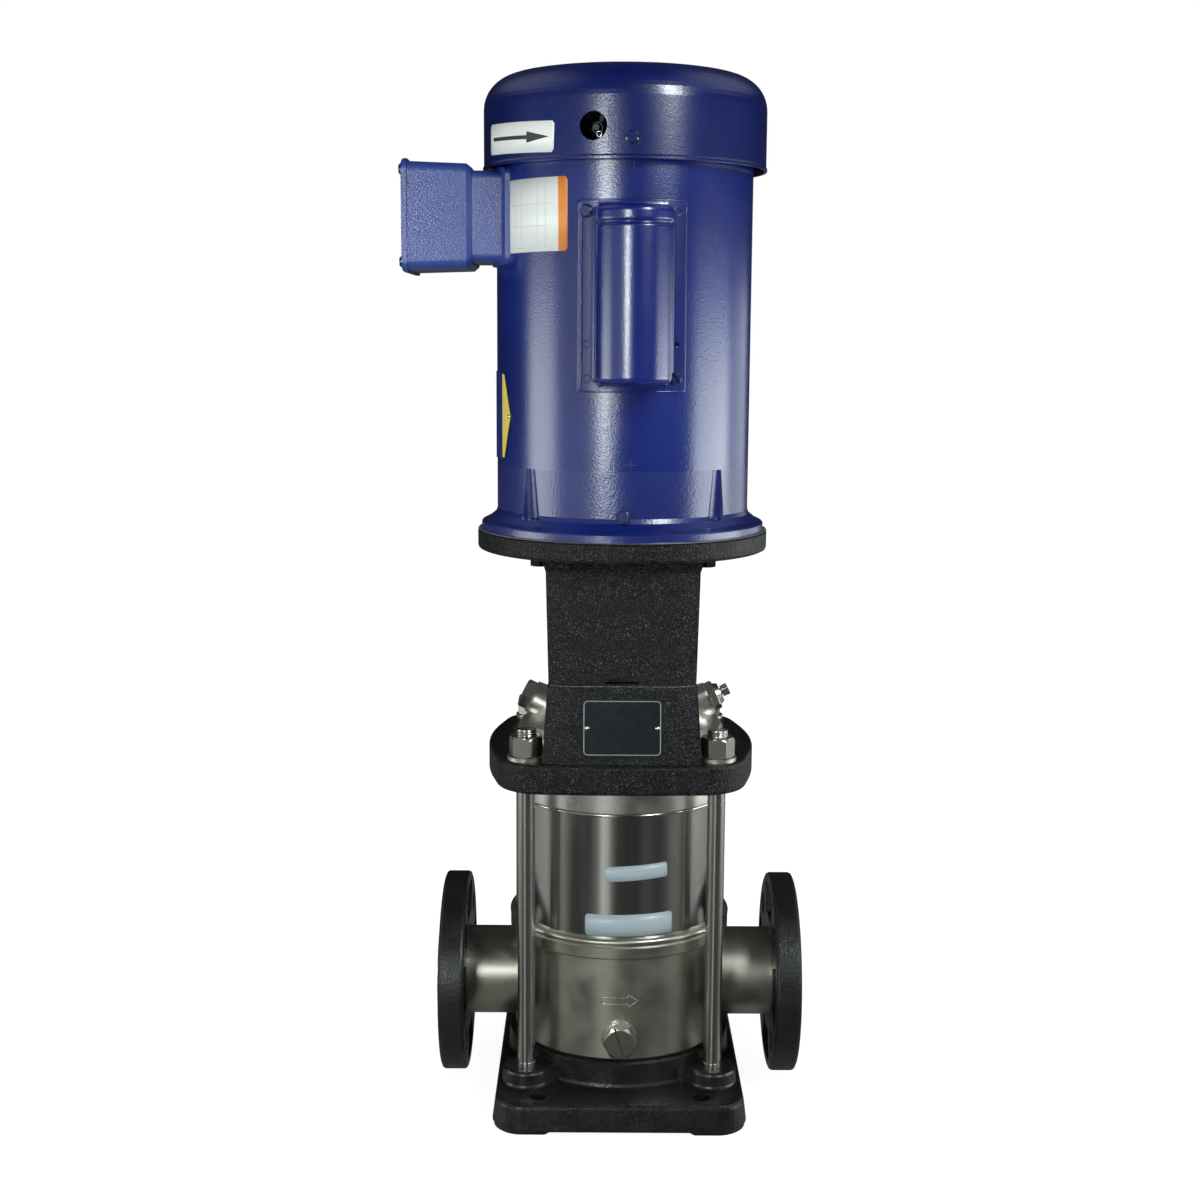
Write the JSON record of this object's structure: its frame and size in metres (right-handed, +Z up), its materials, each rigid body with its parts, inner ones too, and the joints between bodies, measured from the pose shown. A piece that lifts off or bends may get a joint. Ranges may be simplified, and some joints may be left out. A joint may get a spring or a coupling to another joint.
{
  "type": "vertical booster pump",
  "caption": "Vertical multistage booster pump: inline flanged base, polished sleeve held by stay bolts, cast motor stool and a close-coupled motor with conduit and capacitor boxes.",
  "frame": {"origin": "centre of the base plate's four foundation holes, level with the floor", "axes": "+Z up along the shaft, +X towards the discharge port, -Y is the front with the capacitor cover"},
  "size_m": [0.3247, 0.2675, 0.826],
  "materials": {
    "base_plate": "black-grey gloss paint on cast iron",
    "base_chamber": "satin stainless steel",
    "drain_plug": "turned stainless steel",
    "plug_seals": "soft sealing washers",
    "suction_flange": "black-grey gloss paint on cast iron",
    "discharge_flange": "black-grey gloss paint on cast iron",
    "outer_sleeve": "polished stainless steel",
    "sleeve_seals": "black rubber",
    "pump_head": "satin stainless steel",
    "fill_plug": "turned stainless steel",
    "vent_plug": "turned stainless steel",
    "vent_stem": "turned stainless steel",
    "vent_stem_ring": "black rubber",
    "stay_bolts": "zinc-plated steel",
    "stay_washers": "zinc-plated steel",
    "stay_nuts": "zinc-plated steel",
    "motor_stool": "black-grey gloss paint on cast iron",
    "coupling_guards": "stainless sheet",
    "guard_screws": "stainless steel",
    "stool_nameplate": "dark printed foil plate, left bare",
    "nameplate_rivets": "drive rivets",
    "motor_bolts": "black oxide steel",
    "inlet_stage": "stainless sheet",
    "stage_bowls": "stainless sheet",
    "stage_bearings": "dark bearing material",
    "wear_rings": "dark seal ring",
    "seal_carrier": "satin stainless steel",
    "seal_carrier_screws": "steel",
    "seal_seat": "carbide ring",
    "seal_face_ring": "carbon ring",
    "seal_spring": "spring steel",
    "seal_driver": "stainless steel",
    "impellers": "stainless sheet",
    "impeller_spacers": "stainless steel",
    "pump_shaft": "ground stainless steel",
    "coupling_halves": "cast iron",
    "coupling_screws": "black oxide steel",
    "coupling_pin": "ground steel",
    "motor_shaft": "ground steel",
    "rotor_core": "stacked steel sheet",
    "cooling_fan": "moulded plastic",
    "motor_bearings": "bearing steel",
    "stator_core": "stacked steel sheet",
    "stator_windings": "enamelled copper wire",
    "motor_frame": "blue satin paint",
    "drive_endshield": "blue satin paint",
    "fan_endshield": "blue satin paint",
    "through_bolts": "steel",
    "fan_cover": "blue satin paint",
    "motor_cover_screws": "painted over with the covers",
    "grease_fitting": "plated brass",
    "endshield_plug": "blue satin paint",
    "conduit_box": "blue fine textured paint",
    "conduit_cover": "blue fine textured paint",
    "capacitor_cover": "blue satin paint",
    "start_capacitor": "moulded plastic can",
    "motor_nameplate": "yellow printed foil plate, left bare",
    "switch_collar": "moulded plastic",
    "governor": "plated steel",
    "switch_plate": "insulating board"
  },
  "bodies": {
    "frame": {"base_plate": "base_plate", "base_chamber": "base_chamber", "drain_plug": "drain_plug", "plug_seals": "plug_seals", "outer_sleeve": "outer_sleeve", "sleeve_seals": "sleeve_seals", "pump_head": "pump_head", "fill_plug": "fill_plug", "vent_plug": "vent_plug", "stay_bolts": "stay_bolts", "stay_washers": "stay_washers", "stay_nuts": "stay_nuts", "motor_stool": "motor_stool", "coupling_guards": "coupling_guards", "guard_screws": "guard_screws", "stool_nameplate": "stool_nameplate", "nameplate_rivets": "nameplate_rivets", "motor_bolts": "motor_bolts", "inlet_stage": "inlet_stage", "stage_bowls": "stage_bowls", "stage_bearings": "stage_bearings", "wear_rings": "wear_rings", "seal_carrier": "seal_carrier", "seal_carrier_screws": "seal_carrier_screws", "seal_seat": "seal_seat", "motor_bearings": "motor_bearings", "stator_core": "stator_core", "stator_windings": "stator_windings", "motor_frame": "motor_frame", "drive_endshield": "drive_endshield", "fan_endshield": "fan_endshield", "through_bolts": "through_bolts", "fan_cover": "fan_cover", "motor_cover_screws": "motor_cover_screws", "grease_fitting": "grease_fitting", "endshield_plug": "endshield_plug", "conduit_box": "conduit_box", "conduit_cover": "conduit_cover", "capacitor_cover": "capacitor_cover", "start_capacitor": "start_capacitor", "motor_nameplate": "motor_nameplate", "switch_plate": "switch_plate"},
    "suction_loose_flange": {"suction_flange": "suction_flange"},
    "discharge_loose_flange": {"discharge_flange": "discharge_flange"},
    "rotor": {"seal_face_ring": "seal_face_ring", "seal_spring": "seal_spring", "seal_driver": "seal_driver", "impellers": "impellers", "impeller_spacers": "impeller_spacers", "pump_shaft": "pump_shaft", "coupling_halves": "coupling_halves", "coupling_screws": "coupling_screws", "coupling_pin": "coupling_pin", "motor_shaft": "motor_shaft", "rotor_core": "rotor_core", "cooling_fan": "cooling_fan", "governor": "governor"},
    "start_switch_collar": {"switch_collar": "switch_collar"},
    "vent_ring": {"vent_stem_ring": "vent_stem_ring"},
    "vent_spindle": {"vent_stem": "vent_stem"}
  },
  "joints": [
    {"name": "rotor_spin", "type": "hinge", "parent": "frame", "child": "rotor", "pos_m": [0, 0, 0.4], "axis": [0, 0, 1], "continuous": true},
    {"name": "suction_flange_turn", "type": "hinge", "parent": "frame", "child": "suction_loose_flange", "pos_m": [-0.137, 0, 0.09], "axis": [1, 0, 0], "continuous": true},
    {"name": "discharge_flange_turn", "type": "hinge", "parent": "frame", "child": "discharge_loose_flange", "pos_m": [0.137, 0, 0.09], "axis": [1, 0, 0], "continuous": true},
    {"name": "switch_collar_slide", "type": "slide", "parent": "rotor", "child": "start_switch_collar", "axis": [0, 0, -1], "range_m": [0, 0.004]},
    {"name": "vent_lift", "type": "slide", "parent": "frame", "child": "vent_ring", "axis": [0.8949, 0, 0.4462], "range_m": [0, 0.003]},
    {"name": "vent_turn", "type": "hinge", "parent": "vent_ring", "child": "vent_spindle", "pos_m": [0.07383, 0, 0.32731], "axis": [0.8949, 0, 0.4462], "range_deg": [0, 720.1]}
  ],
  "couplings": [
    {"joint": "vent_turn", "follows": "vent_lift", "rad_per_m": 4188.8}
  ]
}
